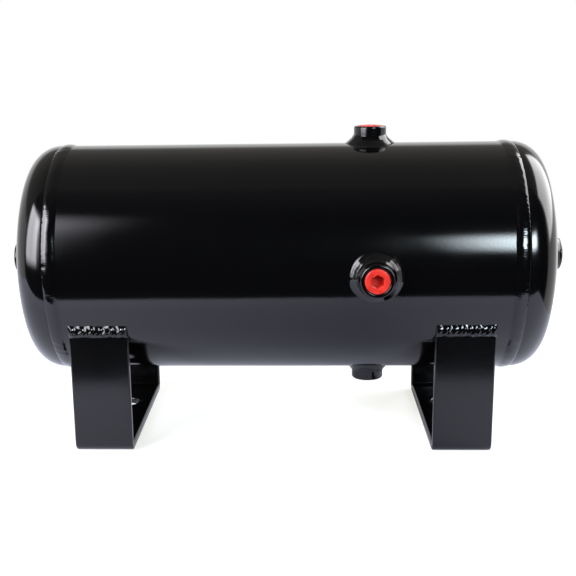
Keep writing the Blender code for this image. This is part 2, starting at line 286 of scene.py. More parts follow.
lines = PORT_X + SHELL_CELL * np.arange(-200, 200)
lines = lines[abs(lines) < SHELL_EDGE - SHELL_CELL / 3]
lines = np.concatenate([[-SHELL_EDGE], lines, [SHELL_EDGE]])
along, girth = np.meshgrid(lines, SHELL_CELL * np.arange(SHELL_COLUMNS), indexing="ij")
middle_along = (along + np.roll(along, -1, 0))[:-1] / 2
middle_girth = girth[:-1] + SHELL_CELL / 2
kept = np.ones(middle_along.shape, bool)
for angle in (UNDER, FRONT, OVER):
    hole_girth = angle * SHELL_RADIUS
    half_hole = SHELL_CELL * HOLE_CELLS
    inside = (abs(middle_along - PORT_X) < half_hole) & (
        abs(wrapped(middle_girth - hole_girth)) < half_hole
    )
    kept &= ~inside
    offset_along, offset_girth = along - PORT_X, wrapped(girth - hole_girth)
    round_along, round_girth = open_hole(
        offset_along, offset_girth, BOSS_RADIUS + GAP, half_hole, SHELL_CELL * PATCH_CELLS
    )
    along = along + round_along - offset_along
    girth = girth + round_girth - offset_girth
turn = girth / SHELL_RADIUS
wave = np.sin(3 * turn + 0.7) * np.cos(along * 31 + 0.4) + np.sin(5 * turn) * np.cos(along * 57)
fade = 1 - abs(along / SHELL_EDGE) ** 8
radius = SHELL_RADIUS - ROLL_WAVE * (1 + wave / 2) * fade
shell = lay_surface("shell_sheet", around_tank(along, turn, radius), columns_close=True, keep=kept)
wall = shell.modifiers.new("wall", "SOLIDIFY")
wall.thickness = SHELL_WALL
wall.offset = -1
shell.data.materials.append(powder_coat(
    "shell_powder", gloss_low=0.09, gloss_high=0.12, peel_height=1.5e-5, swell_height=6e-6,
))
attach(shell, "tank")
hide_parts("shell")

# Seam weld --------------------------------------------------------------------------------------
# The bead that joins the rolled sheet's two edges, laid by machine along the lower rear. It has a
# low rounded cap with even crescent ripples, and powder coat like all the rest.
SEAM_HALF_WIDTH = 0.0035
SEAM_HEIGHT = 0.001
SEAM_PITCH = 0.0011
SEAM_END = SHELL_EDGE - 0.0013
SEAM_RIPPLE = 0.00018
SEAM_LUMPS = 0.00006
SEAM_DRIFT = 0.0002
SEAM_WANDER = 0.00015
SEAM_FADE = 0.003
BURIED = 0.0012


def bead_section(count):
    """Places across a bead from toe to toe, closer together towards the toes."""
    return -np.cos(np.linspace(0, math.pi, count))


def weld_ripple(distance, across, pitch, lag):
    """Crescent ripples left as the pool freezes: a rounded saw along the bead, whose phase lags
    with the square of the place across it."""
    phase = distance / pitch + lag * across**2
    saw = phase - np.floor(phase)
    return saw * (1 - saw) ** 0.5 * 2.6


across = bead_section(17)
along = np.arange(-SEAM_END, SEAM_END, SEAM_PITCH / 5)[:, None]
crown = np.sqrt(np.clip(1 - across**2, 0, 1)) ** 0.8
crown = crown * np.clip((SEAM_END - abs(along)) / SEAM_FADE, 0, 1)
ripple = weld_ripple(along, across, SEAM_PITCH, 0.9)
lumps = noise_field(5, along, scale=0.004)
rise = crown * (SEAM_HEIGHT - SEAM_RIPPLE * ripple + SEAM_LUMPS * lumps)
drift = SEAM_DRIFT * noise_field(6, along, scale=0.009)
width = SEAM_HALF_WIDTH + SEAM_WANDER * noise_field(7, along, scale=0.003)
top = around_tank(along, SEAM_ANGLE + (across * width + drift) / SHELL_RADIUS, SHELL_RADIUS + rise)
under = around_tank(
    along, SEAM_ANGLE + across[::-1] * width / SHELL_RADIUS, SHELL_RADIUS - BURIED + 0 * rise
)
seam = lay_surface(
    "seam_bead", np.concatenate([top, under], axis=1), columns_close=True, fill=True, sharp=60
)
seam.data.materials.append(powder_coat(
    "seam_powder", gloss_low=0.08, gloss_high=0.12, peel_height=1.2e-5, swell_height=1.5e-5,
    swell_size=0.006,
))
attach(seam, "tank")
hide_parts("shell_seam_weld")

# Heads ------------------------------------------------------------------------------------------
# Each end is a dished head pressed from 3 mm steel: a shallow crown that runs into a tight
# knuckle, and a skirt joggled inwards that slips inside the shell before the two are welded.
HEAD_WALL = 0.003
CROWN_RADIUS = 0.2613
KNUCKLE_RADIUS = 0.025
HEAD_SKIRT = 0.02
HEAD_FLANGE = 0.0018
WELD_ROOT = 0.004
HEAD_STEPS = 288
SHOULDER_ROUND = 0.0007
SHOULDER_SINK = 0.0003
INSIDE_STEP = 0.0014
PRESS_WAVE = 0.00006
SKIRT_RADIUS = SHELL_RADIUS - SHELL_WALL - GAP
JOGGLE_FOOT = shell_high.x + WELD_ROOT
SHOULDER = JOGGLE_FOOT + WELD_BEVEL
TANGENT = SHOULDER + HEAD_FLANGE
CROWN_ANGLE = math.asin((SHELL_RADIUS - KNUCKLE_RADIUS) / (CROWN_RADIUS - KNUCKLE_RADIUS))
CROWN_CENTRE = TANGENT - (CROWN_RADIUS - KNUCKLE_RADIUS) * math.cos(CROWN_ANGLE)
POLE = CROWN_CENTRE + CROWN_RADIUS


def soften(corners, cuts, steps=5):
    """Round the corners of a closed outline: each corner is replaced by a curve that starts and
    ends at its cut's distance from it along the two sides, with the corner as its control."""
    corners, cuts = np.asarray(corners, float), np.asarray(cuts, float)[:, None]
    to_next = np.roll(corners, -1, 0) - corners
    to_last = np.roll(corners, 1, 0) - corners
    start = corners + to_last / np.linalg.norm(to_last, axis=1, keepdims=True) * cuts
    end = corners + to_next / np.linalg.norm(to_next, axis=1, keepdims=True) * cuts
    share = np.linspace(0, 1, steps + 1)[None, :, None]
    start, corner, end = start[:, None], corners[:, None], end[:, None]
    curve = (1 - share) ** 2 * start + 2 * share * (1 - share) * corner + share**2 * end
    return curve.reshape(-1, 2)


def dished_profile(depth):
    """(radius, height) of a head's face at a depth under its outside: an arc about the crown's
    centre from the port hole to the knuckle, then an arc about the knuckle's own centre."""
    crown = CROWN_RADIUS - depth
    knuckle = KNUCKLE_RADIUS - depth
    over = np.linspace(math.asin((BOSS_RADIUS + GAP) / crown), CROWN_ANGLE, 40)
    round_ = np.linspace(CROWN_ANGLE, math.pi / 2, 25)[1:]
    radius = np.concatenate(
        [crown * np.sin(over), SHELL_RADIUS - KNUCKLE_RADIUS + knuckle * np.sin(round_)]
    )
    height = np.concatenate(
        [CROWN_CENTRE + crown * np.cos(over), TANGENT + knuckle * np.cos(round_)]
    )
    return np.stack([radius, height], axis=-1)


def head_profile():
    """The whole closed section of a head, outside and inside, with its joggled skirt."""
    joggle = np.array([
        (SHELL_RADIUS, SHOULDER + SHOULDER_ROUND), (SHELL_RADIUS - SHOULDER_SINK, SHOULDER),
        (SKIRT_RADIUS, JOGGLE_FOOT), (SKIRT_RADIUS, JOGGLE_FOOT - HEAD_SKIRT),
    ])
    back = np.array([
        (SKIRT_RADIUS - HEAD_WALL, JOGGLE_FOOT - HEAD_SKIRT),
        (SKIRT_RADIUS - HEAD_WALL, JOGGLE_FOOT + INSIDE_STEP),
        (SHELL_RADIUS - HEAD_WALL, SHOULDER + INSIDE_STEP),
    ])
    return np.concatenate([dished_profile(0), joggle, back, dished_profile(HEAD_WALL)[::-1]])


for side, facing in (("left", -1), ("right", 1)):
    profile = head_profile()
    turn = np.linspace(0, 2 * math.pi, HEAD_STEPS, endpoint=False)[:, None]
    radius, height = profile[:, 0][None], profile[:, 1][None]
    flow = np.sin(2 * turn + facing) * np.sin(math.pi * radius / SHELL_RADIUS)
    pressed = height + PRESS_WAVE * flow * (height > TANGENT)
    head = lay_surface(
        f"dished_head_{side}", around_tank(facing * pressed, turn, radius),
        rows_close=True, columns_close=True,
    )
    head.data.materials.append(powder_coat(
        f"head_powder_{side}", gloss_low=0.09, gloss_high=0.12, peel_height=1.3e-5,
        swell_height=8e-6,
    ))
    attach(head, "tank")
    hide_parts(f"head_{side}")

# Girth welds ------------------------------------------------------------------------------------
# A full ring of weld fills the groove between each head and the shell, laid as the tank turns.
# The bead starts level on the shell, swells, and drops steeply to a narrow gutter at the head.
GIRTH_LAP = 0.001
GIRTH_HEIGHT = 0.0013
GIRTH_CREST = 0.52
GIRTH_GUTTER = 1.2
GIRTH_PITCH = 0.0021
GIRTH_LUMPS = 0.00009
GIRTH_RIPPLE = 0.00003
GIRTH_WANDER = 0.0002
GIRTH_SINK = 0.00008
TOE_SINK = 0.0004
GIRTH_STEPS = 1500
GIRTH_FROM = SHELL_EDGE - GIRTH_LAP
GIRTH_TO = SHOULDER + 0.0011
for side, facing, seed in (("left", -1, 21), ("right", 1, 31)):
    turn = np.linspace(0, 2 * math.pi, GIRTH_STEPS, endpoint=False)[:, None]
    travel = turn * SHELL_RADIUS
    cosine, sine = 40 * np.cos(turn), 40 * np.sin(turn)
    share = np.linspace(0, 1, 25)[None]
    edge_wander = GIRTH_WANDER * noise_field(seed, cosine, sine, scale=2.6)
    foot_wander = GIRTH_WANDER * noise_field(seed + 1, cosine, sine, scale=0.9)
    start = GIRTH_FROM + edge_wander + GIRTH_WANDER
    stop = GIRTH_TO + foot_wander
    height = start + (stop - start) * (share - 0.1 * np.sin(2 * math.pi * share) / math.pi)
    rise = 0.5 - 0.5 * np.cos(math.pi * np.clip(share / GIRTH_CREST, 0, 1))
    fall = np.clip((share - GIRTH_CREST) / (1 - GIRTH_CREST), 0, 1)
    swell = rise - GIRTH_GUTTER * fall**2
    pitch = SHELL_GIRTH / round(SHELL_GIRTH / GIRTH_PITCH)
    ripple = weld_ripple(travel, 2 * share - 1, pitch, 0.8)
    lumps = noise_field(seed + 2, cosine, sine, height * 250, scale=2.6)
    level = swell * GIRTH_HEIGHT + rise * (GIRTH_LUMPS * lumps - GIRTH_RIPPLE * ripple)
    level = level - TOE_SINK * ((share == 0) | (share == 1))
    top = around_tank(facing * height, turn, SHELL_RADIUS - GIRTH_SINK + level)
    base = around_tank(
        facing * (start + (stop - start) * np.array([[0.88, 0.12]])), turn, SKIRT_RADIUS + GAP
    )
    bead = lay_surface(
        f"girth_bead_{side}", np.concatenate([top, base], axis=1),
        rows_close=True, columns_close=True, sharp=70,
    )
    bead.data.materials.append(powder_coat(
        f"girth_powder_{side}", gloss_low=0.08, gloss_high=0.12, peel_height=1e-5,
        swell_height=2.5e-5, swell_size=0.005,
    ))
    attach(bead, "tank")
    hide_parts(f"girth_weld_{side}")

# Bosses -----------------------------------------------------------------------------------------
# Five turned steel bosses, three through the shell and one through each head, with a chamfered
# rim and a bore tapped with a 1/2 in taper thread. Each stands in its hole and is welded round.
BOSS_LENGTH = 0.021
BOSS_CHAMFER = 0.001
BORE_RADIUS = 0.0107
BORE_TAPER = 1 / 32
BORE_CHAMFER = 0.0006
THREAD_PITCH = 0.001814
THREAD_DEPTH = 0.0011
THREAD_START = 0.0012
THREAD_RUN_IN = 0.002
THREAD_RUN_OUT = 0.001
TURN_STEPS = 144


def thread_wave(turn, height):
    """A thread's depth, 0 at its crest and 1 at its root: a triangle wave that climbs one pitch
    in one turn."""
    phase = (height / THREAD_PITCH - turn / (2 * math.pi)) % 1
    return np.clip(1.15 * (1 - abs(2 * phase - 1)) - 0.08, 0, 1)


class Port:
    """Where one boss sits: the middle of its outer face, its way out, and the wall it stands on."""

    def __init__(self, name, out, across, drop, proud):
        low, high = (np.array(corner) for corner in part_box("boss_" + name))
        out = np.array(out, float)
        self.name = name
        self.drop = drop
        self.proud = proud
        self.face = (low + high) / 2 + out * abs(out @ (high - low)) / 2
        self.axes = np.array([across, np.cross(out, across), out])

    def points(self, radius, turn, height):
        """Points about the port's own axis, height measured outwards from the boss's face."""
        radius, turn, height = np.broadcast_arrays(radius, turn, height)
        local = np.stack([radius * np.cos(turn), radius * np.sin(turn), height], axis=-1)
        return self.face + local @ self.axes


def shell_drop(radius, turn):
    """How far the shell falls away below its highest line at a point round a side port."""
    return SHELL_RADIUS - np.sqrt(SHELL_RADIUS**2 - (radius * np.sin(turn)) ** 2)


def crown_drop(radius, turn):
    """How far a head's crown falls away below its pole at a point round an end port."""
    return CROWN_RADIUS - np.sqrt(CROWN_RADIUS**2 - radius**2 + 0 * turn)


side_proud = AXIS_Y - SHELL_RADIUS - front_low.y
right_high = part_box("boss_right")[1]
end_proud = right_high.x - POLE
PORTS = [
    Port("top", (0, 0, 1), (1, 0, 0), shell_drop, side_proud),
    Port("front", (0, -1, 0), (1, 0, 0), shell_drop, side_proud),
    Port("bottom", (0, 0, -1), (1, 0, 0), shell_drop, side_proud),
    Port("left", (-1, 0, 0), (0, 0, 1), crown_drop, end_proud),
    Port("right", (1, 0, 0), (0, 0, 1), crown_drop, end_proud),
]


def bore_radius(depth):
    """The tapered bore's radius at a depth under the boss's face."""
    return BORE_RADIUS - BORE_TAPER * depth


for port in PORTS:
    outline = soften(
        [
            (bore_radius(BOSS_LENGTH), -BOSS_LENGTH), (BOSS_RADIUS, -BOSS_LENGTH),
            (BOSS_RADIUS, -BOSS_CHAMFER), (BOSS_RADIUS - BOSS_CHAMFER, 0),
            (bore_radius(0) + BORE_CHAMFER, 0), (bore_radius(0), -BORE_CHAMFER),
        ],
        [0.0002, 0.0003, 0.00045, 0.0004, 0.0003, 0.0002],
    )
    depth = np.linspace(BORE_CHAMFER + 0.0004, BOSS_LENGTH - 0.0004, 110)
    turn = np.linspace(0, 2 * math.pi, TURN_STEPS, endpoint=False)[:, None]
    fade = np.clip((depth - THREAD_START) / THREAD_RUN_IN, 0, 1)
    fade = fade * np.clip((BOSS_LENGTH - depth) / THREAD_RUN_OUT, 0, 1)
    bore = bore_radius(depth) + THREAD_DEPTH * fade * thread_wave(turn, -depth[None])
    radius = np.concatenate([outline[:, 0] + 0 * turn, bore], axis=1)
    height = np.concatenate([outline[:, 1], -depth])[None]
    boss = lay_surface(
        f"turned_boss_{port.name}", port.points(radius, turn, height),
        rows_close=True, columns_close=True, sharp=70,
    )
    boss.data.materials.append(powder_coat(
        f"boss_powder_{port.name}", gloss_low=0.09, gloss_high=0.13, peel_height=8e-6,
        swell_height=4e-6, swell_size=0.006,
    ))
    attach(boss, "tank")
    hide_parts(f"boss_{port.name}")

# Boss welds -------------------------------------------------------------------------------------
# A hand-laid fillet round each boss, three passes wide, which follows the curve of the wall it
# stands on. The powder has flowed over it, so the ripples are soft and the bead shines.
FILLET_FOOT = 0.0078
FILLET_RISE = 0.0076
FILLET_STEPS = 480
FILLET_PITCH = 0.0034
FILLET_BULGE = 0.00095
FILLET_RIPPLE = 0.00003
FILLET_LUMPS = 0.00006
FILLET_GROOVE = 0.00022
FILLET_GROOVES = ((0.17, 0.05, 1), (0.62, 0.06, 0.7))
FILLET_ROOT = 0.0012
for port, seed in zip(PORTS, (40, 50, 60, 70, 80)):
    turn = np.linspace(0, 2 * math.pi, FILLET_STEPS, endpoint=False)[:, None]
    cosine, sine = np.cos(turn), np.sin(turn)
    share = np.linspace(0, 1, 29)[None]
    foot = FILLET_FOOT * (1 + 0.04 * noise_field(seed, 5 * cosine, 5 * sine, scale=1.8))
    climb = FILLET_RISE * (1 + 0.04 * noise_field(seed + 1, 5 * cosine, 5 * sine, scale=1.6))
    bend = share * math.pi / 2
    out_by = foot * (1 - np.sin(bend) ** 1.25)
    up_by = climb * (1 - np.cos(bend) ** 1.25)
    travel = turn * (BOSS_RADIUS + FILLET_FOOT / 2)
    ring = 2 * math.pi * (BOSS_RADIUS + FILLET_FOOT / 2)
    ripple = weld_ripple(travel, 2 * share - 1, ring / round(ring / FILLET_PITCH), 0.5)
    lumps = noise_field(seed + 2, 5 * cosine, 5 * sine, 2 * share, scale=1.4)
    shifted = share + 0.025 * lumps
    grooves = sum(
        depth * np.exp(-(((shifted - middle) / spread) ** 2))
        for middle, spread, depth in FILLET_GROOVES
    )
    bulge = np.sin(math.pi * share) ** 0.8 * (
        FILLET_BULGE - FILLET_RIPPLE * ripple + FILLET_LUMPS * lumps - FILLET_GROOVE * grooves
    )
    radius = BOSS_RADIUS + GAP / 2 + out_by + bulge * np.cos(bend) + 0 * turn
    wall_drop = port.proud + port.drop(radius, turn)
    level = up_by + bulge * np.sin(bend) - wall_drop
    level = level + 0.00002 - 0.0001 * (share == 0)
    root_radius = BOSS_RADIUS - FILLET_ROOT
    root = np.array([[root_radius, root_radius, BOSS_RADIUS + 0.0045]])
    root_level = np.concatenate([
        level[:, -1:] - 0.0006,
        -port.proud - port.drop(root[:, 1:], turn) - FILLET_ROOT,
    ], axis=1)
    radius = np.concatenate([radius, root + 0 * turn], axis=1)
    level = np.concatenate([level, root_level], axis=1)
    fillet = lay_surface(
        f"boss_fillet_{port.name}", port.points(radius, turn, level),
        rows_close=True, columns_close=True, sharp=75,
    )
    fillet.data.materials.append(powder_coat(
        f"fillet_powder_{port.name}", gloss_low=0.06, gloss_high=0.09, peel_height=5e-6,
        swell_height=2e-5, swell_size=0.005,
    ))
    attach(fillet, "tank")
    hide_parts(f"boss_weld_{port.name}")

# Plugs ------------------------------------------------------------------------------------------
# Threaded shipping plugs moulded in red plastic, with a blind hex socket, screwed in until they
# are almost level with the boss. Each one comes out along its own port.
PLUG_LENGTH = 0.015
PLUG_PROUD = 0.0004
PLUG_CHAMFER = 0.0006
SOCKET_FLAT = 0.005
SOCKET_DEPTH = 0.009
PLUG_STEPS = 180
PLUG_TURNS = {"top": 12, "front": 0, "bottom": 40, "left": 22, "right": 50}

plug_plastic, _, plastic_out = new_group(
    "moulded_plastic", {}, {"Colour": COLOUR, "Roughness": FLOAT, "Normal": "NodeSocketVector"}
)
place = add_node(plug_plastic, "ShaderNodeTexCoord").outputs["Object"]
grain = add_node(
    plug_plastic, "ShaderNodeTexNoise", {"Vector": place}, Scale=900, Detail=2, Roughness=0.6
)
flow = add_node(
    plug_plastic, "ShaderNodeTexNoise", {"Vector": place}, Scale=130, Detail=3, Roughness=0.5,
    Distortion=0.6,
)
ramp = add_node(plug_plastic, "ShaderNodeValToRGB", {"Fac": flow.outputs["Fac"]})
ramp.color_ramp.elements[0].position = 0.3
ramp.color_ramp.elements[0].color = (0.46, 0.014, 0.008, 1)
ramp.color_ramp.elements[1].position = 0.7
ramp.color_ramp.elements[1].color = (0.55, 0.024, 0.012, 1)
sheen = add_node(
    plug_plastic, "ShaderNodeMapRange", {"Value": flow.outputs["Fac"]},
    From_Min=0.3, From_Max=0.7, To_Min=0.3, To_Max=0.42,
)
lift = add_node(
    plug_plastic, "ShaderNodeBump", {"Height": grain.outputs["Fac"]}, Strength=1,
    Distance=0.00001,
)
plug_plastic.links.new(ramp.outputs["Color"], plastic_out.inputs["Colour"])
plug_plastic.links.new(sheen.outputs["Result"], plastic_out.inputs["Roughness"])
plug_plastic.links.new(lift.outputs["Normal"], plastic_out.inputs["Normal"])


def hex_radius(turn, flat):
    """How far a hexagon's side is from its middle, with corners at 30 degrees and every 60."""
    sixth = math.pi / 3
    return flat / np.cos((turn + sixth / 2) % sixth - sixth / 2)


for port in PORTS:
    turn = np.linspace(0, 2 * math.pi, PLUG_STEPS, endpoint=False)[:, None]
    end = bore_radius(PLUG_LENGTH) - GAP
    rim = bore_radius(0) - GAP
    depth = np.linspace(PLUG_LENGTH - PLUG_CHAMFER, PLUG_CHAMFER + 0.0014, 90)
    fade = np.clip((depth - 0.0026) / 0.001, 0, 1)
    groove = THREAD_DEPTH * 0.9 * fade * thread_wave(turn, -depth[None])
    thread = bore_radius(depth) - GAP - groove
    nose = np.array([
        (0, -PLUG_LENGTH), (end - 0.002, -PLUG_LENGTH), (end - 0.0011, -PLUG_LENGTH + 0.0002),
    ])
    face = soften(
        [
            (rim, -0.002), (rim, PLUG_PROUD - PLUG_CHAMFER), (rim - PLUG_CHAMFER, PLUG_PROUD),
            (rim - 0.0022, PLUG_PROUD), (0.006, PLUG_PROUD - 0.00005),
        ],
        [0.0001, 0.0003, 0.0003, 0.0001, 0.0001], 3,
    )
    socket = np.array([
        (SOCKET_FLAT + 0.00035, PLUG_PROUD - 0.00006),
        (SOCKET_FLAT + 0.00012, PLUG_PROUD - 0.00016),
        (SOCKET_FLAT, PLUG_PROUD - 0.0004), (SOCKET_FLAT - 0.0001, -0.004),
        (SOCKET_FLAT - 0.00016, -SOCKET_DEPTH + 0.0005),
        (SOCKET_FLAT - 0.0005, -SOCKET_DEPTH + 0.0001),
        (0.003, -SOCKET_DEPTH), (0, -SOCKET_DEPTH),
    ])
    hexed = hex_radius(turn, socket[:, 0][None])
    radius = np.concatenate(
        [nose[:, 0] + 0 * turn, thread, face[:, 0] + 0 * turn, hexed], axis=1
    )
    height = np.concatenate([nose[:, 1], -depth, face[:, 1], socket[:, 1]])[None]
    twist = math.radians(PLUG_TURNS[port.name])
    plug = lay_surface(
        f"shipping_plug_{port.name}", port.points(radius, turn + twist, height),
        rows_close=True, sharp=40,
    )
    plastic = bpy.data.materials.new(f"red_plastic_{port.name}")
    plastic.use_nodes = True
    shader = plastic.node_tree.nodes["Principled BSDF"]
    look = add_node(plastic.node_tree, "ShaderNodeGroup", node_tree=plug_plastic)
    for output, entry in (
        ("Colour", "Base Color"), ("Roughness", "Roughness"), ("Normal", "Normal"),
    ):
        plastic.node_tree.links.new(look.outputs[output], shader.inputs[entry])
    shader.inputs["IOR"].default_value = 1.5
    plug.data.materials.append(plastic)
    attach(plug, f"plug_{port.name}")
    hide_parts(f"plug_{port.name}")

# Feet -------------------------------------------------------------------------------------------
# Two lengths of 2 in flat bar, bent twice into a U with rolled edges, two bolt holes in the base
# and the leg ends cut to fit the shell. They are welded to it along the outer faces.
FOOT_THICKNESS = 0.00635
FOOT_BEND = 0.0025 + FOOT_THICKNESS
FOOT_HOLE = 0.012
FOOT_HOLE_SPACING = 0.059
FOOT_EDGE = 0.0015
FOOT_ROW = FOOT_HOLE_SPACING / 12
HOLE_ROWS = 2
PATCH_ROWS = 5
ROW_REACH = 17
COPE_REACH = 0.0215
for side in ("left", "right"):
    foot_low, foot_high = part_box(f"foot_{side}")
    middle = (foot_low.x + foot_high.x) / 2
    half_width = (foot_high.x - foot_low.x) / 2
    leg = (foot_high.y - foot_low.y) / 2
    flat = leg - FOOT_BEND
    leg_top = AXIS_Z - math.sqrt((SHELL_RADIUS + GAP) ** 2 - leg**2)
    # Rows follow the bar's outer face from the front leg's end, under, and up the rear leg.
    bend = np.linspace(0, math.pi / 2, 13)
    base_y = FOOT_ROW * np.arange(-ROW_REACH, ROW_REACH + 1)
    base_y = base_y[abs(base_y) < flat - FOOT_ROW / 2]
    front_y = np.concatenate([[-leg, -leg], -flat - FOOT_BEND * np.cos(bend)])
    front_z = np.concatenate([[leg_top, leg_top - COPE_REACH], FOOT_BEND * (1 - np.sin(bend))])
    path_y = np.concatenate([front_y, base_y, -front_y[::-1]])
    path_z = np.concatenate([front_z, 0 * base_y, front_z[::-1]])
    columns = np.linspace(-half_width, half_width, 13)
    pitch = columns[1] - columns[0]
    across, y = np.meshgrid(columns, path_y)
    z = path_z[:, None] + 0 * y
    level = z < 1e-6
    keep = np.ones((y.shape[0] - 1, y.shape[1] - 1), bool)
    for hole_y in (-FOOT_HOLE_SPACING / 2, FOOT_HOLE_SPACING / 2):
        middle_y = (y[:-1, :-1] + y[1:, :-1]) / 2 - hole_y
        middle_x = (across[:-1, :-1] + across[:-1, 1:]) / 2
        inside = (abs(middle_y) < HOLE_ROWS * FOOT_ROW) & (abs(middle_x) < HOLE_ROWS * pitch)
        keep &= ~(inside & level[:-1, :-1] & level[1:, :-1])
        square = np.maximum(abs(across) / pitch, abs(y - hole_y) / FOOT_ROW)
        share = np.clip((square - HOLE_ROWS) / (PATCH_ROWS - HOLE_ROWS), 0, 1)
        ring = FOOT_HOLE / np.maximum(np.hypot(across, y - hole_y), 1e-9)
        scale = np.where(level & (square < PATCH_ROWS), (1 - share) * ring + share, 1)
        across, y = across * scale, hole_y + (y - hole_y) * scale
    foot = lay_surface(
        f"bent_foot_{side}", np.stack([middle + across, AXIS_Y + y, z], axis=-1), keep=keep
    )
    bar = foot.modifiers.new("bar", "SOLIDIFY")
    bar.thickness = FOOT_THICKNESS
    bar.offset = -1
    bar.use_even_offset = True
    edges = foot.modifiers.new("edges", "BEVEL")
    edges.width = FOOT_EDGE
    edges.segments = 4
    edges.limit_method = "ANGLE"
    edges.angle_limit = math.radians(50)
    edges.use_clamp_overlap = False
    # The legs' ends are coped: what would reach into the shell drops down to its surface.
    graph = bpy.context.evaluated_depsgraph_get()
    solid = bpy.data.meshes.new_from_object(foot.evaluated_get(graph))
    foot.modifiers.clear()
    foot.data = solid
    spots = np.empty(3 * len(solid.vertices))
    solid.vertices.foreach_get("co", spots)
    spots = spots.reshape(-1, 3)
    saddle = AXIS_Z - np.sqrt((SHELL_RADIUS + GAP) ** 2 - (spots[:, 1] - AXIS_Y) ** 2)
    spots[:, 2] = np.minimum(spots[:, 2], saddle)
    solid.vertices.foreach_set("co", spots.ravel())
    solid.update()
    foot.data.materials.append(powder_coat(
        f"foot_powder_{side}", gloss_low=0.14, gloss_high=0.18, peel_height=1.6e-5,
        swell_height=8e-6,
    ))
    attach(foot, "tank")
    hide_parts(f"foot_{side}")

# Foot welds -------------------------------------------------------------------------------------
# A hand-laid bead along the top of each leg's outer face: a thick roll of soft crescents that
# catch the lamps, and below it a smoother lip that sags over the leg.
BEAD_UP = 0.0075
BEAD_DOWN = 0.0044
BEAD_PITCH = 0.0041
BEAD_SHARES = (0, 0.05, 0.38, 0.6, 0.82, 1)
BEAD_THICKNESS = (0, 0.0022, 0.0038, 0.0031, 0.0019, 0)
BEAD_SAG = 0.0005
BEAD_WANDER = 0.0004
BEAD_END = 0.004
BEAD_SLANT = 0.0022
BEAD_LUMPS = 0.00018
BEAD_RIPPLE = 0.00026
BEAD_ROOT = 0.0012
for side, place, sign, seed in (
    ("left", "front", -1, 90), ("left", "rear", 1, 100),
    ("right", "front", -1, 110), ("right", "rear", 1, 120),
):
    foot_low, foot_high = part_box(f"foot_{side}")
    leg = (foot_high.y - foot_low.y) / 2
    corner = math.asin(leg / SHELL_RADIUS)
    low_z = AXIS_Z - SHELL_RADIUS * math.cos(corner) - BEAD_DOWN
    along = np.linspace(foot_low.x, foot_high.x, 170)[:, None]
    inset = np.minimum(along - foot_low.x, foot_high.x - along)
    ends = np.sqrt(np.clip(1 - (1 - inset / BEAD_END) ** 2 * (inset < BEAD_END), 0, 1))
    share = np.linspace(0, 1, 31)[None]
    lip = BEAD_SAG * noise_field(seed, along, scale=0.005)
    crest = BEAD_WANDER * noise_field(seed + 2, along, scale=0.004)
    start_y, start_z = leg, low_z + lip
    top_angle = corner + (BEAD_UP + crest) / SHELL_RADIUS
    stop_y = SHELL_RADIUS * np.sin(top_angle)
    stop_z = AXIS_Z - SHELL_RADIUS * np.cos(top_angle)
    run_y, run_z = stop_y - start_y, stop_z - start_z
    length = np.hypot(run_y, run_z)
    out_y, out_z = run_z / length, -run_y / length
    rolled = np.interp(share, BEAD_SHARES, BEAD_THICKNESS)
    for _ in range(4):
        rolled[:, 1:-1] = (rolled[:, :-2] + rolled[:, 1:-1] + rolled[:, 2:]) / 3
    upper = np.clip((share - 0.35) * 5, 0, 1) * np.clip((1 - share) * 5, 0, 1)
    slant = BEAD_SLANT * (share - 0.7) ** 2 * 8
    slant = slant + 0.0008 * noise_field(seed + 3, along, scale=0.006)
    ripple = np.cos(2 * math.pi * (along + slant) / BEAD_PITCH)
    lumps = noise_field(seed + 4, along * 330, share * 5, scale=1.0)
    bulge = rolled + np.sin(math.pi * share) * BEAD_LUMPS * lumps + upper * BEAD_RIPPLE * ripple
    bulge = bulge * (0.2 + 0.8 * ends)
    y = start_y + run_y * share + out_y * bulge
    z = start_z + run_z * share + out_z * bulge
    back_y = np.full((len(along), 2), SHELL_RADIUS * math.sin(corner) - BEAD_ROOT)
    back_z = np.concatenate([stop_z - 0.002, start_z + 0.001], axis=1)
    y, z = np.concatenate([y, back_y], axis=1), np.concatenate([z, back_z], axis=1)
    x = along + 0 * y
    bead = lay_surface(
        f"foot_bead_{side}_{place}", np.stack([x, AXIS_Y + sign * y, z], axis=-1),
        columns_close=True, fill=True, sharp=75,
    )
    bead.data.materials.append(powder_coat(
        f"bead_powder_{side}_{place}", gloss_low=0.06, gloss_high=0.09, peel_height=5e-6,
        swell_height=2.5e-5, swell_size=0.004,
    ))
    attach(bead, "tank")
    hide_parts(f"foot_weld_{side}_{place}")

# Studio -----------------------------------------------------------------------------------------
# A white table top that rolls down a little in front of the tank, in a dark room with a bright
# wall behind. Softboxes stand at its two sides, a dimmer one spills light from the front left,
# and a small bright lamp stands at the front right.
TABLE_FRONT = -0.215
TABLE_BACK = 0.75
TABLE_LEFT = -1.0
TABLE_RIGHT = 0.45
TABLE_SKEW = math.tan(math.radians(3))
ROLL_RADIUS = 0.35

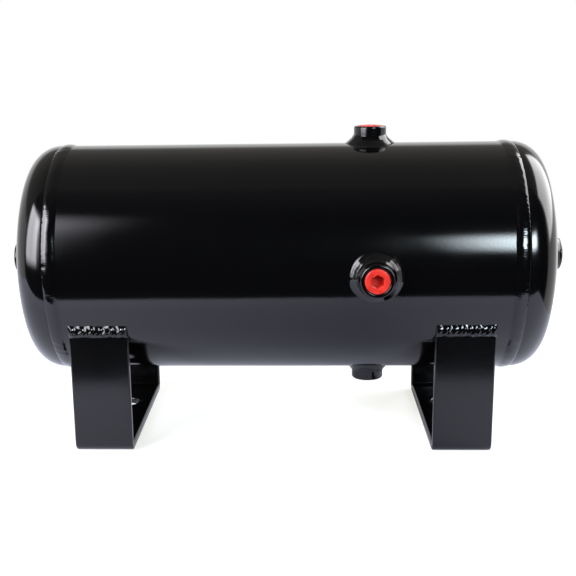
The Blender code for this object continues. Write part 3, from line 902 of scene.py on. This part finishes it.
roll = np.linspace(0, math.pi / 2, 25)
depth = np.concatenate([[TABLE_BACK], TABLE_FRONT - ROLL_RADIUS * np.sin(roll)])[:, None]
drop = np.concatenate([[0], ROLL_RADIUS * (np.cos(roll) - 1)])[:, None]
across = np.linspace(TABLE_LEFT, TABLE_RIGHT, 9)[None]
skewed = depth - across * TABLE_SKEW * (depth < 0)
table = lay_surface(
    "table_paper", np.stack([across + 0 * depth, skewed, drop + 0 * across], axis=-1)
)
paper = bpy.data.materials.new("white_paper")
paper.use_nodes = True
shader = paper.node_tree.nodes["Principled BSDF"]
shader.inputs["Roughness"].default_value = 0.9
shader.inputs["Specular IOR Level"].default_value = 0.1
fibre = add_node(paper.node_tree, "ShaderNodeTexNoise", Scale=300, Detail=2)
tint = add_node(paper.node_tree, "ShaderNodeValToRGB", {"Fac": fibre.outputs["Fac"]})
tint.color_ramp.elements[0].color = (0.45, 0.46, 0.54, 1)
tint.color_ramp.elements[1].color = (0.49, 0.50, 0.58, 1)
paper.node_tree.links.new(tint.outputs["Color"], shader.inputs["Base Color"])
# The sheet glows a little: evenly towards the camera, and towards its ends with painted light,
# which stands in for the spill of the softboxes that stand closer to them.
spot = add_node(paper.node_tree, "ShaderNodeTexCoord").outputs["Object"]
paper.node_tree.links.new(spot, fibre.inputs["Vector"])
sides = add_node(paper.node_tree, "ShaderNodeSeparateXYZ", {"Vector": spot})
reach = add_node(
    paper.node_tree, "ShaderNodeMapRange", {"Value": sides.outputs["X"]},
    From_Min=-0.4, From_Max=0.4,
)
# Painted light: this ramp makes the sheet glow brighter towards its two ends, in place of the
# softboxes' spill.
ends = add_node(paper.node_tree, "ShaderNodeValToRGB", {"Fac": reach.outputs["Result"]})
for place, level in ((0.2, 0.55), (0.6, 0), (0.85, 0.4)):
    element = ends.color_ramp.elements.new(place)
    element.color = (level * 0.95, level * 0.96, level * 1.1, 1)
ends.color_ramp.elements.remove(ends.color_ramp.elements[-1])
ends.color_ramp.elements.remove(ends.color_ramp.elements[0])
paper_rays = add_node(paper.node_tree, "ShaderNodeLightPath")
glow = add_node(paper.node_tree, "ShaderNodeMix", data_type="RGBA")
glow.inputs[7].default_value = (0.68, 0.68, 0.6, 1)
paper.node_tree.links.new(paper_rays.outputs["Is Camera Ray"], glow.inputs[0])
paper.node_tree.links.new(ends.outputs["Color"], glow.inputs[6])
paper.node_tree.links.new(glow.outputs[2], shader.inputs["Emission Color"])
shader.inputs["Emission Strength"].default_value = 1
table.data.materials.append(paper)


def hang_light(name, azimuth, elevation, distance, width, height, radiance, colour, soft, foot,
               lean=1):
    """Hang a softbox that faces the tank. Azimuth starts towards the camera and turns to +X. A square
    metre of lamp needs four watts for each unit of radiance. Its edges fade over a soft share of
    its width, and it dims to a foot share of its brightness at its lower edge. Lean 1 points it
    down at the tank and lean 0 stands it upright."""
    a, e = math.radians(azimuth), math.radians(elevation)
    out = np.array([math.sin(a) * math.cos(e), -math.cos(a) * math.cos(e), math.sin(e)])
    light = bpy.data.lights.new(name, "AREA")
    light.shape = "RECTANGLE"
    light.size, light.size_y = width, height
    light.energy = radiance * 4 * width * height
    light.color = colour
    light.use_nodes = True
    tree = light.node_tree
    inside = add_node(
        tree, "ShaderNodeSeparateXYZ",
        {"Vector": add_node(tree, "ShaderNodeTexCoord").outputs["UV"]},
    )
    glow = add_node(tree, "ShaderNodeMapRange", {"Value": inside.outputs["Y"]}, To_Min=foot)
    glow = glow.outputs["Result"]
    for axis in ("X", "Y"):
        for start, end in ((0, soft), (1, 1 - soft)):
            edge = add_node(
                tree, "ShaderNodeMapRange", {"Value": inside.outputs[axis]},
                interpolation_type="SMOOTHSTEP", From_Min=start, From_Max=end,
            )
            product = add_node(
                tree, "ShaderNodeMath", {0: glow, 1: edge.outputs["Result"]},
                operation="MULTIPLY",
            )
            glow = product.outputs[0]
    tree.links.new(glow, tree.nodes["Emission"].inputs["Strength"])
    lamp = bpy.data.objects.new(name, light)
    stand = Matrix.Translation((out * distance + (0, AXIS_Y, AXIS_Z)).tolist())
    turned = Matrix.Rotation(a, 4, "Z") @ Matrix.Rotation(math.radians(90) - lean * e, 4, "X")
    lamp.matrix_world = stand @ turned
    lamp.visible_camera = False
    bpy.context.scene.collection.objects.link(lamp)


hang_light(
    "softbox_left", azimuth=-52, elevation=25, distance=1.6, width=1.3, height=1.5,
    radiance=10, colour=(0.95, 0.95, 1.0), soft=0.16, foot=0.7, lean=0.4,
)
hang_light(
    "spill_left", azimuth=-34.6, elevation=26.5, distance=1.7, width=0.96, height=1.85,
    radiance=5.5, colour=(0.9, 0.9, 1.0), soft=0.36, foot=0.15, lean=0.4,
)
hang_light(
    "softbox_right", azimuth=109, elevation=29, distance=1.5, width=1.5, height=1.3,
    radiance=5.2, colour=(1.0, 0.98, 1.0), soft=0.1, foot=0.8,
)
hang_light(
    "lamp_front_right", azimuth=26.5, elevation=20, distance=1.6, width=0.84, height=0.58,
    radiance=30, colour=(0.8, 0.93, 1.0), soft=0.42, foot=1,
)

# The room: white low down behind and beside the table, dim above it and nearly black in front.
room = bpy.data.worlds.new("room")
bpy.context.scene.world = room
room.use_nodes = True
tree = room.node_tree
background = tree.nodes["Background"]
view = add_node(tree, "ShaderNodeTexCoord").outputs["Generated"]
parts = add_node(tree, "ShaderNodeSeparateXYZ", {"Vector": view})
behind = add_node(
    tree, "ShaderNodeMapRange", {"Value": parts.outputs["Y"]}, interpolation_type="SMOOTHSTEP",
    From_Min=-0.25, From_Max=-0.08,
)
bright = add_node(tree, "ShaderNodeValToRGB", {"Fac": parts.outputs["Z"]})
bright.color_ramp.elements[0].position = 0.34
bright.color_ramp.elements[0].color = (1, 1, 1, 1)
bright.color_ramp.elements[1].position = 0.46
bright.color_ramp.elements[1].color = (0.28, 0.27, 0.255, 1)
for position, level in ((0.8, 0.25), (0.95, 0.19), (1.0, 0.165)):
    element = bright.color_ramp.elements.new(position)
    element.color = (level * 1.04, level, level * 0.93, 1)
dark = add_node(tree, "ShaderNodeValToRGB", {"Fac": parts.outputs["Z"]})
dark.color_ramp.elements[0].position = 0.72
dark.color_ramp.elements[0].color = (0.016, 0.016, 0.0165, 1)
dark.color_ramp.elements[1].color = (0.13, 0.125, 0.12, 1)
for position, level in ((0.87, 0.045), (0.97, 0.1)):
    element = dark.color_ramp.elements.new(position)
    element.color = (level, level, level, 1)
room_mix = add_node(tree, "ShaderNodeMix", data_type="RGBA")
tree.links.new(behind.outputs["Result"], room_mix.inputs[0])
tree.links.new(dark.outputs["Color"], room_mix.inputs[6])
tree.links.new(bright.outputs["Color"], room_mix.inputs[7])
rays = add_node(tree, "ShaderNodeLightPath")
seen = add_node(tree, "ShaderNodeMix", data_type="RGBA")
tree.links.new(rays.outputs["Is Camera Ray"], seen.inputs[0])
tree.links.new(room_mix.outputs[2], seen.inputs[6])
seen.inputs[7].default_value = (1, 1, 1, 1)
tree.links.new(seen.outputs[2], background.inputs["Color"])
bpy.context.scene.view_settings.view_transform = "Standard"

# Camera -----------------------------------------------------------------------------------------
# It stands 0.9 m in front of the tank, a little above it, and looks slightly down.
CAMERA_PLACE = (0.01486, -0.89848, 0.33143)
CAMERA_TURN = math.radians(2.567)
CAMERA_DIP = math.radians(14.226)
CAMERA_ROLL = math.radians(-0.852)
lens = bpy.data.cameras.new("camera")
lens.sensor_width = 36
lens.lens = 62.447
lens.shift_x = 0.0516
lens.shift_y = 0.04665
camera = bpy.data.objects.new("camera", lens)
bpy.context.scene.collection.objects.link(camera)
camera.matrix_world = (
    Matrix.Translation(CAMERA_PLACE)
    @ Matrix.Rotation(CAMERA_TURN, 4, "Z")
    @ Matrix.Rotation(math.radians(90) - CAMERA_DIP, 4, "X")
    @ Matrix.Rotation(CAMERA_ROLL, 4, "Z")
)
bpy.context.scene.camera = camera
